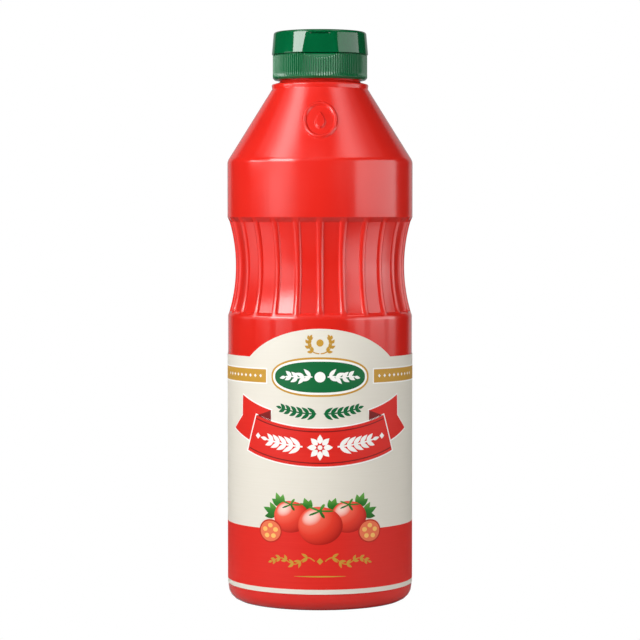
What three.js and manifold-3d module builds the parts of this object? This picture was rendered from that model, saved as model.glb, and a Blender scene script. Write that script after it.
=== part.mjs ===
// A squeeze bottle of ketchup, shut: a round blow-moulded bottle with a ribbed grip, a wrap-round
// label whose top edge rises in an arch, and a flip-top cap of two pieces.
// Millimetres, +Z up. The origin is the centre of the base, on the surface it stands on, and the
// front, with the middle of the label and the cap's thumb recess, faces -Y.
import * as THREE from "three";
import { mergeVertices } from "three/addons/utils/BufferGeometryUtils.js";
import Module from "manifold-3d";

// Bottle: radii and heights of its outline, from the base up
const BODY_RADIUS = 40; // the band between the grip and the shoulder
const LOWER_RADIUS = 39.8; // the long cylinder that carries the label
const HEEL_RADIUS = 6; // rounding between the wall and the base
const FOOT_WIDTH = 4.5; // flat ring that the bottle stands on
const PUSH_UP = 3; // how far the base is domed up inside that ring
const DOME_LEVEL = 0.7; // share of the ring's radius where the dome would meet its level middle
const GRIP_LOW = 125.5; // where the lower band's rounded edge meets the floor of the grip
const GRIP_HIGH = 165.8;
const LEDGE_ROUND = 2.9; // height of that rounded edge
const LEDGE_LIP = 0.7; // how far under the floor that edge turns from the wall to the floor
const LEDGE_HEIGHT = 2.05; // sloped ledge under the upper band
const SHOULDER_EDGE = 190;
const SHOULDER_FILLET = 4.2;
const SHOULDER_TOP = 220.9;
const SHOULDER_SLOPE = 0.6245; // radius lost for each millimetre of height
const COLLAR_RADIUS = 20.95;
const COLLAR_TOP = 222.9;
const COLLAR_CHAMFER = 0.5;
const NECK_RADIUS = 17.4;
const NECK_FOOT = 223.8;
const NECK_TOP = 233;

// Grip: ribs that stand on a waisted floor
const RIB_COUNT = 24;
const RIB_HEIGHT = 0.9;
const RIB_FOOT = 1.6; // half of a rib's width at its foot
const RIB_CREST = 0.5; // half of the width of its top
const WAIST_RADIUS = 36.4; // over the ribs, at the narrowest
const WAIST_CURVE = 70; // radius of the waist's arc
const WAIST_MIDDLE = 144.7; // height of its narrowest place

// Mark moulded on the front of the shoulder: an upright oval line round a drop
const MARK_HEIGHT = 206.6;
const MARK_HALF_WIDTH = 6.6;
const MARK_HALF_HEIGHT = 8.4; // along the slope
const MARK_LINE = 0.7; // radius of the line's bead
const DROP_HALF_WIDTH = 2.7;
const DROP_HALF_HEIGHT = 4.3;
const DROP_TAPER = 0.7; // share of its width that the drop loses towards its upper end

// Label
const LABEL_INNER = 40;
const LABEL_THICKNESS = 0.2;
const LABEL_LOW = 7.65;
const LABEL_HIGH = 106.9;
const LABEL_GAP = 1.6; // between its two ends, at the back
const ARCH_HALF_WIDTH = 33.4; // along the bottle's surface
const ARCH_RISE = 12.3;

// Cap
const CAP_RADIUS = 20.4;
const CAP_LOW = 224.8;
const CAP_HIGH = 235.5;
const CAP_CHAMFER = 0.8;
const CAP_BORE_GAP = 0.4; // between the neck and the cap round it
const KNURL_COUNT = 120;
const KNURL_DEPTH = 0.4;
const KNURL_LOW = 225.75;
const LID_GAP = 0.4;
const LID_FOOT_RADIUS = 20.8;
const LID_TOP_RADIUS = 20.05;
const LID_HIGH = 245.5;
const LID_ROUND = 1.2;
const LID_DISH_RADIUS = 15.5; // shallow dish in the lid's top
const LID_DISH_DEPTH = 0.5;
const RECESS_FOOT_HALF = 7.55; // half of the thumb recess's width, at its foot and at its top
const RECESS_TOP_HALF = 5.5;
const RECESS_ROOF = 1.25; // the lid's top that is left above the recess
const SCOOP_HEIGHT = 2.35; // slope under the recess, in the skirt's edge
const SCOOP_HALF = 8.3; // half of the slope's width at its top
const HINGE_FLAT_HALF = 7; // half of the width of the flat behind the hinge
const HINGE_HALF = 6;
const HINGE_THICKNESS = 0.7;
const HINGE_ROOT = 1; // how deep the strap's upper half reaches into the lid
const HINGE_LOW = 232.5;
const HINGE_HIGH = 240;

// Blocks and cylinders that only cut reach this far past what they cut
const CUTTER_SIZE = 12;
const CUTTER_WIDTH = 30;
const BORE_OVERCUT = 1;

// How finely round things are divided
const FLOOR_ROWS = 8;
const DROP_SEGMENTS = 16;
const DROP_RINGS = 10;
const ARCH_COLUMNS = 36;
const LABEL_SIDE_COLUMNS = 28;
const MARK_STEPS = 40;
const MARK_SIDES = 6;
const LID_SEGMENTS = 96;
const BORE_SEGMENTS = 48;
const ARC_DIVISIONS = 2;
const MERGE_DISTANCE = 1e-4;

const wasm = await Module();
wasm.setup();

// A closed three.js geometry as a solid that can be joined and cut.
function solid(geometry) {
  const plain = geometry.clone();
  plain.deleteAttribute("normal");
  plain.deleteAttribute("uv");
  const merged = mergeVertices(plain, MERGE_DISTANCE);
  return new wasm.Manifold(
    new wasm.Mesh({
      numProp: 3,
      vertProperties: new Float32Array(merged.attributes.position.array),
      triVerts: new Uint32Array(merged.index.array),
    }),
  );
}

// A solid back as a three.js geometry, with flat faces.
function geometryOf(made) {
  const mesh = made.getMesh();
  const geometry = new THREE.BufferGeometry();
  geometry.setAttribute("position", new THREE.BufferAttribute(mesh.vertProperties, 3));
  geometry.setIndex(new THREE.BufferAttribute(mesh.triVerts, 1));
  const faceted = geometry.toNonIndexed();
  faceted.computeVertexNormals();
  return faceted;
}

// An outline of (radius, height) points turned about Z. Its first column faces -Y.
function turned(points, segments) {
  return new THREE.LatheGeometry(points, segments).rotateX(Math.PI / 2);
}

// Moves each vertex of a turned geometry: shift(column, radius, height) gives [angle, radius].
function reshape(geometry, pointCount, segments, shift) {
  const position = geometry.attributes.position;
  for (let i = 0; i < position.count; i += 1) {
    const column = Math.floor(i / pointCount) % segments;
    const radius = Math.hypot(position.getX(i), position.getY(i));
    const [angle, moved] = shift(column, radius, position.getZ(i));
    position.setX(i, moved * Math.sin(angle));
    position.setY(i, -moved * Math.cos(angle));
  }
  return geometry;
}

// Radius over the ribs at a height in the grip: an arc whose middle is the narrowest place.
function waistRadius(height) {
  const fromMiddle = height - WAIST_MIDDLE;
  return WAIST_RADIUS + WAIST_CURVE - Math.sqrt(WAIST_CURVE ** 2 - fromMiddle ** 2);
}

// Radius of the plain cone of the shoulder at a height.
function shoulderRadius(height) {
  return BODY_RADIUS - SHOULDER_SLOPE * (height - SHOULDER_EDGE);
}

// The bottle's outline, from the middle of the base to the middle of the neck's end.
function bottleOutline() {
  const footOuter = LOWER_RADIUS - HEEL_RADIUS;
  const footInner = footOuter - FOOT_WIDTH;
  const floorEnd = waistRadius(GRIP_LOW) - RIB_HEIGHT;
  const filletReach = SHOULDER_FILLET * Math.tan(Math.atan(SHOULDER_SLOPE) / 2);
  const outline = new THREE.Path();
  outline.moveTo(0, PUSH_UP);
  outline.quadraticCurveTo(footInner * DOME_LEVEL, PUSH_UP, footInner, 0);
  outline.lineTo(footOuter, 0);
  outline.absarc(footOuter, HEEL_RADIUS, HEEL_RADIUS, -Math.PI / 2, 0);
  outline.lineTo(LOWER_RADIUS, GRIP_LOW - LEDGE_ROUND);
  outline.quadraticCurveTo(LOWER_RADIUS, GRIP_LOW - LEDGE_LIP, floorEnd, GRIP_LOW);
  const floorHigh = GRIP_HIGH - LEDGE_HEIGHT;
  for (let row = 1; row <= FLOOR_ROWS; row += 1) {
    const height = GRIP_LOW + ((floorHigh - GRIP_LOW) * row) / FLOOR_ROWS;
    outline.lineTo(waistRadius(height) - RIB_HEIGHT, height);
  }
  outline.lineTo(BODY_RADIUS, GRIP_HIGH);
  outline.lineTo(BODY_RADIUS, SHOULDER_EDGE - filletReach);
  const filletEnd = SHOULDER_EDGE + filletReach * Math.cos(Math.atan(SHOULDER_SLOPE));
  outline.quadraticCurveTo(BODY_RADIUS, SHOULDER_EDGE, shoulderRadius(filletEnd), filletEnd);
  outline.lineTo(shoulderRadius(SHOULDER_TOP), SHOULDER_TOP);
  outline.lineTo(COLLAR_RADIUS, SHOULDER_TOP);
  outline.lineTo(COLLAR_RADIUS, COLLAR_TOP - COLLAR_CHAMFER);
  outline.lineTo(COLLAR_RADIUS - COLLAR_CHAMFER, COLLAR_TOP);
  outline.lineTo(NECK_RADIUS, NECK_FOOT);
  outline.lineTo(NECK_RADIUS, NECK_TOP);
  outline.lineTo(0, NECK_TOP);
  return outline.getPoints(ARC_DIVISIONS);
}

// A place on the shoulder's cone: across and up are distances along its surface from the mark's middle.
function onShoulder(across, up, lift) {
  const slant = Math.atan(SHOULDER_SLOPE);
  const height = MARK_HEIGHT + up * Math.cos(slant) + lift * Math.sin(slant);
  const radius = shoulderRadius(MARK_HEIGHT + up * Math.cos(slant)) + lift * Math.cos(slant);
  const angle = across / radius;
  return new THREE.Vector3(radius * Math.sin(angle), -radius * Math.cos(angle), height);
}

// The oval of the moulded mark, as a closed line on the cone.
class MarkLine extends THREE.Curve {
  getPoint(turn) {
    const angle = 2 * Math.PI * turn;
    return onShoulder(MARK_HALF_WIDTH * Math.sin(angle), MARK_HALF_HEIGHT * Math.cos(angle), 0);
  }
}

// The drop inside the oval: a ball that narrows to a point upwards, pressed flat on the cone.
function dropGeometry() {
  const ball = new THREE.SphereGeometry(1, DROP_SEGMENTS, DROP_RINGS);
  const position = ball.attributes.position;
  for (let i = 0; i < position.count; i += 1) {
    const along = position.getY(i);
    const narrowing = 1 - DROP_TAPER * ((1 + along) / 2) ** 2;
    const place = onShoulder(
      position.getX(i) * DROP_HALF_WIDTH * narrowing,
      along * DROP_HALF_HEIGHT,
      position.getZ(i) * MARK_LINE,
    );
    position.setXYZ(i, place.x, place.y, place.z);
  }
  return ball;
}

// The bottle: the turned outline with ribs raised in the grip, and the mark on its shoulder.
function bottleGeometry() {
  const outline = bottleOutline();
  const pitch = (2 * Math.PI) / RIB_COUNT;
  const betweenRibs = (pitch * WAIST_RADIUS) / 2;
  const acrossRib = [-RIB_FOOT, -RIB_CREST, RIB_CREST, RIB_FOOT, betweenRibs];
  const columns = RIB_COUNT * acrossRib.length;
  const shell = reshape(turned(outline, columns), outline.length, columns, (column, radius, height) => {
    const across = acrossRib[column % acrossRib.length];
    const angle = Math.floor(column / acrossRib.length) * pitch + across / WAIST_RADIUS;
    const onCrest = Math.abs(across) < RIB_FOOT;
    const inGrip = height > GRIP_LOW - LEDGE_ROUND && height < GRIP_HIGH;
    return [angle, onCrest && inGrip ? Math.max(radius, waistRadius(height)) : radius];
  });
  const line = new THREE.TubeGeometry(new MarkLine(), MARK_STEPS, MARK_LINE, MARK_SIDES, true);
  return geometryOf(solid(shell).add(solid(line)).add(solid(dropGeometry())));
}

// Height of the label's top edge at a distance round the bottle from the middle of the front.
function labelTop(along) {
  if (Math.abs(along) >= ARCH_HALF_WIDTH) return LABEL_HIGH;
  const archRadius = (ARCH_HALF_WIDTH ** 2 + ARCH_RISE ** 2) / (2 * ARCH_RISE);
  const archCentre = LABEL_HIGH + ARCH_RISE - archRadius;
  return archCentre + Math.sqrt(archRadius ** 2 - along ** 2);
}

// Distance round the bottle of a column of the label: even under the arch, and even on each side of it.
function labelAlong(column) {
  const halfLength = Math.PI * LABEL_INNER - LABEL_GAP / 2;
  const fromMiddle = column - LABEL_SIDE_COLUMNS - ARCH_COLUMNS / 2;
  const pastArch = Math.abs(fromMiddle) - ARCH_COLUMNS / 2;
  if (pastArch <= 0) return (fromMiddle * 2 * ARCH_HALF_WIDTH) / ARCH_COLUMNS;
  const side = ARCH_HALF_WIDTH + (pastArch * (halfLength - ARCH_HALF_WIDTH)) / LABEL_SIDE_COLUMNS;
  return Math.sign(fromMiddle) * side;
}

// The label: a flat strip bent round the bottle, its top edge cut to the arch.
function labelGeometry() {
  const columns = ARCH_COLUMNS + 2 * LABEL_SIDE_COLUMNS;
  const strip = new THREE.BoxGeometry(columns, 1, 1, columns, 1, 1);
  const position = strip.attributes.position;
  for (let i = 0; i < position.count; i += 1) {
    const along = labelAlong(Math.round(position.getX(i) + columns / 2));
    const up = position.getY(i) + 0.5;
    const radius = LABEL_INNER + (position.getZ(i) + 0.5) * LABEL_THICKNESS;
    const angle = along / LABEL_INNER;
    position.setXYZ(
      i,
      radius * Math.sin(angle),
      -radius * Math.cos(angle),
      LABEL_LOW + up * (labelTop(along) - LABEL_LOW),
    );
  }
  return strip;
}

// A box across the middle plane, whose own middle is at (0, y, z).
function block(width, depth, height, y, z) {
  return solid(new THREE.BoxGeometry(width, depth, height).translate(0, y, z));
}

// Distance from the axis to a flat that cuts a round of that radius along a chord.
function chordDepth(radius, halfWidth) {
  return Math.sqrt(radius ** 2 - halfWidth ** 2);
}

// Distance from the axis to the flat that the hinge lies on, the same on the skirt and on the lid.
const HINGE_FLAT = chordDepth(CAP_RADIUS, HINGE_FLAT_HALF);

// What is cut from the back of the cap, from the hinge's foot to its top, for the hinge to lie in.
function hingeCut() {
  const height = HINGE_HIGH - HINGE_LOW + 2 * LID_GAP;
  const middle = (HINGE_LOW + HINGE_HIGH) / 2;
  return block(CUTTER_WIDTH, CUTTER_SIZE, height, HINGE_FLAT + CUTTER_SIZE / 2, middle);
}

// The cap's ribbed skirt, which screws on the neck: knurled round its side, with a slope in its top
// edge under the lid's thumb recess.
function capSkirtGeometry() {
  const segments = 2 * KNURL_COUNT;
  const valley = CAP_RADIUS - KNURL_DEPTH;
  const outline = [
    [0, CAP_LOW],
    [CAP_RADIUS - CAP_CHAMFER, CAP_LOW],
    [valley, KNURL_LOW],
    [valley, CAP_HIGH],
    [0, CAP_HIGH],
  ].map(([radius, height]) => new THREE.Vector2(radius, height));
  const skirt = reshape(turned(outline, segments), outline.length, segments, (column, radius) => {
    const ribbed = Math.abs(radius - valley) < KNURL_DEPTH / 2;
    const lift = ribbed && column % 2 === 0 ? KNURL_DEPTH : 0;
    return [(column * 2 * Math.PI) / segments, radius + lift];
  });
  const boreHeight = NECK_TOP + CAP_BORE_GAP - CAP_LOW + BORE_OVERCUT;
  const bore = new THREE.CylinderGeometry(
    NECK_RADIUS + CAP_BORE_GAP,
    NECK_RADIUS + CAP_BORE_GAP,
    boreHeight,
    BORE_SEGMENTS,
  )
    .rotateX(Math.PI / 2)
    .translate(0, 0, CAP_LOW - BORE_OVERCUT + boreHeight / 2);
  const scoopDepth = CAP_RADIUS - chordDepth(CAP_RADIUS, SCOOP_HALF);
  const scoopTilt = Math.atan2(scoopDepth, SCOOP_HEIGHT);
  const scoop = solid(
    new THREE.BoxGeometry(CUTTER_WIDTH, CUTTER_SIZE, CUTTER_SIZE)
      .translate(0, -CUTTER_SIZE / 2, 0)
      .rotateX(-scoopTilt)
      .translate(0, -(CAP_RADIUS - scoopDepth), CAP_HIGH),
  );
  return geometryOf(solid(skirt).subtract(solid(bore)).subtract(scoop).subtract(hingeCut()));
}

// The lid: a round that narrows upwards, with a flat thumb recess in front and the hinge's strap behind.
function lidGeometry() {
  const low = CAP_HIGH + LID_GAP;
  const outline = new THREE.Path();
  outline.moveTo(0, low);
  outline.lineTo(LID_FOOT_RADIUS, low);
  outline.lineTo(LID_TOP_RADIUS, LID_HIGH - LID_ROUND);
  outline.absarc(LID_TOP_RADIUS - LID_ROUND, LID_HIGH - LID_ROUND, LID_ROUND, 0, Math.PI / 2);
  outline.lineTo(LID_DISH_RADIUS + LID_DISH_DEPTH, LID_HIGH);
  outline.lineTo(LID_DISH_RADIUS, LID_HIGH - LID_DISH_DEPTH);
  outline.lineTo(0, LID_HIGH - LID_DISH_DEPTH);
  const round = solid(turned(outline.getPoints(ARC_DIVISIONS), LID_SEGMENTS));
  const footDepth = chordDepth(LID_FOOT_RADIUS, RECESS_FOOT_HALF);
  const topDepth = chordDepth(LID_TOP_RADIUS, RECESS_TOP_HALF);
  const recessHeight = LID_HIGH - RECESS_ROOF - low;
  const lean = Math.atan2(footDepth - topDepth, recessHeight);
  const size = 2 * recessHeight;
  const recess = solid(
    new THREE.BoxGeometry(CUTTER_WIDTH, size, size)
      .translate(0, -size / 2, 0)
      .rotateX(-lean)
      .translate(0, -footDepth, LID_HIGH - RECESS_ROOF - size / 2),
  );
  const hinge = block(
    2 * HINGE_HALF,
    HINGE_THICKNESS,
    HINGE_HIGH - HINGE_LOW,
    HINGE_FLAT + LID_GAP + HINGE_THICKNESS / 2,
    (HINGE_LOW + HINGE_HIGH) / 2,
  );
  const web = block(
    2 * HINGE_HALF,
    LID_GAP + HINGE_THICKNESS + HINGE_ROOT,
    HINGE_HIGH - low,
    HINGE_FLAT + (LID_GAP + HINGE_THICKNESS - HINGE_ROOT) / 2,
    (HINGE_HIGH + low) / 2,
  );
  return geometryOf(round.subtract(recess).subtract(hingeCut()).add(hinge).add(web));
}

function material(color, roughness) {
  return new THREE.MeshStandardMaterial({ color, roughness, metalness: 0 });
}

function piece(name, geometry, finish) {
  const mesh = new THREE.Mesh(geometry, finish);
  mesh.name = name;
  return mesh;
}

const redPolyethylene = material(0xd8281f, 0.35);
const printedFilm = material(0xe9e4d6, 0.45);
const greenPolypropylene = material(0x0f6a3c, 0.3);

const ketchupBottle = new THREE.Group();
ketchupBottle.add(piece("bottle", bottleGeometry(), redPolyethylene));
ketchupBottle.add(piece("label", labelGeometry(), printedFilm));
ketchupBottle.add(piece("cap_skirt", capSkirtGeometry(), greenPolypropylene));
ketchupBottle.add(piece("cap_lid", lidGeometry(), greenPolypropylene));

export default ketchupBottle;
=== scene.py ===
"""Looks of a shut squeeze bottle of ketchup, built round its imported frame.

Sizes are in millimetres and in the frame's own axes: +Z is up and the front faces -Y. An angle runs round the
bottle from the middle of the front towards +X. A distance along the label runs the same way, on its face.
"""

import math

import bpy
import numpy as np
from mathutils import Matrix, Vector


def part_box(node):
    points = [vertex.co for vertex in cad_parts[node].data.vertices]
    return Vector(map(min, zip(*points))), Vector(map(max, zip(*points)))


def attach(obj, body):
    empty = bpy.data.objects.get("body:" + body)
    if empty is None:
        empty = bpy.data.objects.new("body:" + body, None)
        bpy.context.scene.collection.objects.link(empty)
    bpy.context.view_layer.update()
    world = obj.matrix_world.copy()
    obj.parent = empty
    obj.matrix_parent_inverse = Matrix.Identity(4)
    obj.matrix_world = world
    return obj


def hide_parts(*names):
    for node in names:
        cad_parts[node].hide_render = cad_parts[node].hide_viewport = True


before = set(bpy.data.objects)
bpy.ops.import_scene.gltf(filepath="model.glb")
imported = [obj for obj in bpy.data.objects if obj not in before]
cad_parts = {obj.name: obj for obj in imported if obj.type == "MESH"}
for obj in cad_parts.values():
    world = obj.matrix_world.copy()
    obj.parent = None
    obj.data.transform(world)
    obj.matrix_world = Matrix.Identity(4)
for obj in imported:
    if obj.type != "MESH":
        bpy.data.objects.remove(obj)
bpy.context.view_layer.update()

MM = 0.001
BODY = "root"
SIDES = (-1, 1)


def box_mm(node):
    """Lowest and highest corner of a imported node, in millimetres."""
    low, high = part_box(node)
    return np.array(low) / MM, np.array(high) / MM


BOTTLE_BOX = box_mm("bottle")
LABEL_BOX = box_mm("label")
SKIRT_BOX = box_mm("cap_skirt")
LID_BOX = box_mm("cap_lid")

# Bottle
BAND_RADIUS = BOTTLE_BOX[1][0]
LOWER_RADIUS = BAND_RADIUS - 0.2
HEEL_RADIUS = 6.0
FOOT_WIDTH = 4.5
FOOT_ROUND = 1.5
PUSH_UP = 3.0
WAIST_ROWS = 20
LEDGE_ROWS = 10
DOME_SHARES = np.linspace(0.06, 0.9, 10)
GRIP_LOW = 125.5
GRIP_HIGH = 165.8
LEDGE_ROUND = 2.9
LEDGE_LIP = 0.7
LEDGE_HEIGHT = 2.05
LEDGE_EDGE_ROUND = 0.4
SHOULDER_EDGE = 190.0
SHOULDER_FILLET = 4.2
SHOULDER_TOP = 220.9
SHOULDER_TOP_ROUND = 0.5
SHOULDER_SLOPE = 0.6245
SLANT = math.atan(SHOULDER_SLOPE)
COLLAR_RADIUS = 20.95
COLLAR_TOP = 222.9
COLLAR_ROUND = 0.7
NECK_RADIUS = 17.4
NECK_FOOT = 223.8
NECK_FOOT_ROUND = 0.8
NECK_TOP = BOTTLE_BOX[1][2]
NECK_TOP_ROUND = 0.4
RIB_COUNT = 24
RIB_PITCH = 2 * math.pi / RIB_COUNT
RIB_HEIGHT = 0.9
RIB_HALF = 1.6
RIB_COLUMNS = RIB_HALF * np.array([0.18, 0.36, 0.52, 0.66, 0.78, 0.88, 0.96, 1])
PANEL_COLUMNS = RIB_PITCH * np.array([0.34, 0.5, 0.66])
PANEL_FLATNESS = 0.8
WAIST_RADIUS = 36.4
WAIST_CURVE = 70.0
WAIST_MIDDLE = 144.7
PARTING_HEIGHT = 0.07
PARTING_HALF = 0.35
PINCH_HEIGHT = 0.35
PINCH_HALF = 0.6
PINCH_STEEPNESS = 1.5
PINCH_END = LOWER_RADIUS - HEEL_RADIUS - FOOT_WIDTH - 2
PINCH_FADE = 4.0
SAME_ANGLE = 1e-4

# Mark moulded on the shoulder
MARK_HEIGHT = 206.6
MARK_HALF_WIDTH = 6.6
MARK_HALF_HEIGHT = 8.4
MARK_LINE_HALF = 0.9
MARK_RELIEF = 0.85
MARK_ROWS = np.linspace(-10.2, 10.2, 65)
MARK_COLUMNS = np.linspace(-0.26, 0.26, 73)
MARK_LOWEST = SHOULDER_EDGE + 2
MARK_HIGHEST = SHOULDER_TOP - 1
DROP_HALF_WIDTH = 2.7
DROP_HALF_HEIGHT = 4.3
DROP_NARROWING = 0.7
DROP_EDGE = 0.7
TINY = 1e-6

# Cap
SKIRT_RADIUS = SKIRT_BOX[1][0]
SKIRT_LOW = SKIRT_BOX[0][2]
SKIRT_HIGH = SKIRT_BOX[1][2]
SKIRT_CHAMFER = 0.8
SKIRT_EDGE_ROUND = 0.3
SKIRT_TOP_ROUND = 0.2
BORE_RADIUS = NECK_RADIUS + 0.4
BORE_TOP = NECK_TOP + 0.4
BORE_MOUTH_ROUND = 0.25
GAP_RING_RADIUS = 17.0
CORE_RADIUS = 2.0
KNURL_COUNT = 120
KNURL_COLUMNS = 10
KNURL_DEPTH = 0.4
KNURL_LOW = 225.75
KNURL_ROUNDNESS = 0.7
KNURL_FADE_LOW = 0.8
KNURL_FADE_HIGH = 0.4
CHAMFER_TOP = KNURL_LOW - 0.1
LID_LOW = SKIRT_HIGH + 0.2
LID_HIGH = LID_BOX[1][2]
LID_FOOT_RADIUS = LID_BOX[1][0]
LID_TOP_RADIUS = LID_FOOT_RADIUS - 0.75
LID_FOOT_ROUND = 0.25
LID_ROUND = 1.2
LID_DISH_RADIUS = 15.5
LID_DISH_DEPTH = 0.5
LID_DISH_SLOPE = 1.0
LID_DISH_ROUND = 0.8
LID_ROWS = 14
LID_COLUMNS = 720
RECESS_FOOT_HALF = 7.55
RECESS_TOP_HALF = 5.5
RECESS_ROOF = 1.25
SLOT_HALF = 4.3
SLOT_HEIGHT = 0.6
SLOT_DEPTH = 0.6
SLOT_END = 0.5
SLOT_FOOT_EDGE = 0.04
SLOT_ROOF_EDGE = 0.06
SCOOP_HEIGHT = 2.35
SCOOP_HALF = 8.3
SCOOP_LIP = 0.35
CUT_MARGIN = 0.4
PLAIN_ROWS = np.linspace(KNURL_LOW, 232.6, 8)
SCOOP_ROWS = np.linspace(232.8, SKIRT_HIGH - 0.45, 14)
LIP_ROWS = SKIRT_HIGH - np.array([0.36, 0.3, 0.25])
HINGE_FLAT_HALF = 7.0
HINGE_HALF = 6.0
HINGE_THICKNESS = 0.7
HINGE_STAND_OFF = 0.4
HINGE_SINK = 0.1
HINGE_GROOVE = 0.4
HINGE_GROOVE_HALF = 0.7
HINGE_EDGE_DROP = 0.25
HINGE_EDGE_WIDTH = 0.6
HINGE_ROWS = 61
HINGE_COLUMNS = 41
HINGE_LOW = LID_BOX[0][2]
HINGE_HIGH = 240.0

# Film, and the layers of ink on it
INK = 0.02
INK_LAYERS = 6
FILM_RADIUS = LABEL_BOX[1][0] - INK * INK_LAYERS
FILM_INNER = 40.0
LABEL_LOW = LABEL_BOX[0][2]
LABEL_SIDE_HIGH = 106.9
LABEL_GAP = 1.6
LABEL_HALF = math.pi * FILM_INNER - LABEL_GAP / 2
ARCH_HALF_WIDTH = 33.4
ARCH_RISE = LABEL_BOX[1][2] - LABEL_SIDE_HIGH

# Rows and columns of film and ink
FILM_ROWS = 25
FILM_SIDE_COLUMNS = 130
FILM_ARCH_COLUMNS = 141
STRIP_ROWS = 9
LEAST_COLUMNS = 8
RIBBON_COLUMNS = 81
TAIL_ROWS = 13
TAIL_COLUMNS = 25
FOLD_ROWS = 7
FOLD_COLUMNS = 13
LEAF_STEPS = 16
STEM_COLUMNS = 40
VINE_COLUMNS = 60
GARLAND_COLUMNS = 50

# Lower field, side bands and cartouche
FIELD_LOW = 9.65
FIELD_HIGH = 34.7
FIELD_END = 125.6
BAND_END = LABEL_HALF - 1.0
SIDE_BAND_START = 24.1
SIDE_BAND_LOW = 96.25
SIDE_BAND_HIGH = 101.85
SIDE_BAND_DIAMONDS = range(27, 52, 3)
SIDE_BAND_DIAMOND_HALF = 0.75
KEYLINE = 0.55
CARTOUCHE = (0.0, 99.0)
CARTOUCHE_HALF_WIDTH = 21.4
CARTOUCHE_HALF_HEIGHT = 8.3
CARTOUCHE_POWER = 2.3
CARTOUCHE_KEYLINE_INSET = 0.85
CARTOUCHE_FIELD_INSET = 1.8

# Ribbon: a part of a ring about a centre above the label, with turns in radians from straight down
RIBBON_CENTRE = 168.0
RIBBON_INNER = 90.5
RIBBON_OUTER = 106.5
RIBBON_MIDDLE = (RIBBON_INNER + RIBBON_OUTER) / 2
RIBBON_HALF_TURN = 0.33
RIBBON_KEYLINE_TURN = 0.006
TAIL_START = 0.24
TAIL_END = 0.435
TAIL_NOTCH = 0.035
TAIL_RISE = 4.6
FOLD_OVERLAP = 0.4
FOLD_TAPER = 0.97
PINSTRIPE_INSET = 1.4
PINSTRIPE_HALF = 0.22
PINSTRIPE_HALF_TURN = RIBBON_HALF_TURN - 0.004

# Leaves of the sprigs: their least half-width, shares of their own size, and turns in radians
LEAF_LEAST_HALF = 0.03
LEAF_SWELL = 0.8
LEAF_SHRINK = 0.35
LEAF_LEAN = 0.75
LEAF_CURL = 0.25
TIP_LENGTH = 0.6
TIP_WIDTH = 0.8

# Wreath, vine, sprigs and garland
WREATH_HEIGHT = 113.1
WREATH_HALF_WIDTH = 4.6
WREATH_HALF_HEIGHT = 4.3
WREATH_ROOT = 0.25
WREATH_END = 0.55
WREATH_BALL = (0.0, 113.3)
WREATH_BALL_RADIUS = 1.5
VINE_HEIGHT = 21.6
VINE_START = 2.2
VINE_LENGTH = 19.0
VINE_SWING = 1.7
VINE_FADING = 0.5
VINE_HALF_WAVES = 3.2
VINE_DIAMOND_HALF = 1.4
RULE_HEIGHT = 15.2
RULE_HALF_LENGTH = 11.0
RULE_LEAST_HALF = 0.06
RULE_SWELL = 0.22
GREEN_SPRIG_HEIGHT = 83.6
GREEN_SPRIG_RISE = 2.2
GREEN_SPRIG_START = 1.6
GREEN_SPRIG_LENGTH = 15.0
WHITE_SPRIG_START = 3.2
WHITE_SPRIG_LENGTH = 11.6
WHITE_SPRIG_SWING = 0.3
WHITE_SPRIG_HALF_WAVES = 3
FRUIT_HALF_WIDTH = 2.3
FRUIT_HALF_HEIGHT = 2.2
FLOWER_RADIUS = 1.0
PETAL_COUNT = 8
PETAL_START = 1.5
PETAL_LENGTH = 3.9
PETAL_HALF = 1.15
GARLAND_START = 0.075
GARLAND_END = 0.24
GARLAND_DIAMOND_TURN = 0.292
GARLAND_DIAMOND_HALF = 1.3

SHARP_ANGLE = math.radians(35)


# Meshes


def quads(index):
    """Quads between neighbouring rows and columns of a grid of vertex numbers."""
    corners = [index[:-1, :-1], index[:-1, 1:], index[1:, 1:], index[1:, :-1]]
    return np.stack(corners, axis=-1).reshape(-1, 4)


def closed_tube(rings, start, end):
    """A tube that closes in a point at each end.

    rings is rows x columns x 3. The last column joins the first, and the first and last rows are joined to
    the points start and end by triangles.
    """
    rows, columns, _ = rings.shape
    points = np.concatenate([rings.reshape(-1, 3), [start], [end]])
    index = np.arange(rows * columns).reshape(rows, columns)
    around = np.concatenate([index, index[:, :1]], axis=1)
    first, last = around[0], around[-1]
    start_fan = np.stack([first[1:], first[:-1], np.full(columns, rows * columns)], axis=-1)
    end_fan = np.stack([last[:-1], last[1:], np.full(columns, rows * columns + 1)], axis=-1)
    return points, [quads(around), start_fan, end_fan]


def slab(outer, inner):
    """A thin solid between two grids of the same size, closed by a wall all round their edges."""
    rows, columns, _ = outer.shape
    count = rows * columns
    index = np.arange(count).reshape(rows, columns)
    rim = np.concatenate([index[0, :-1], index[:-1, -1], index[-1, :0:-1], index[:0:-1, 0]])
    following = np.roll(rim, -1)
    wall = np.stack([following, rim, rim + count, following + count], axis=-1)
    points = np.concatenate([outer.reshape(-1, 3), inner.reshape(-1, 3)])
    return points, [quads(index), quads(index + count)[:, ::-1], wall]


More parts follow.
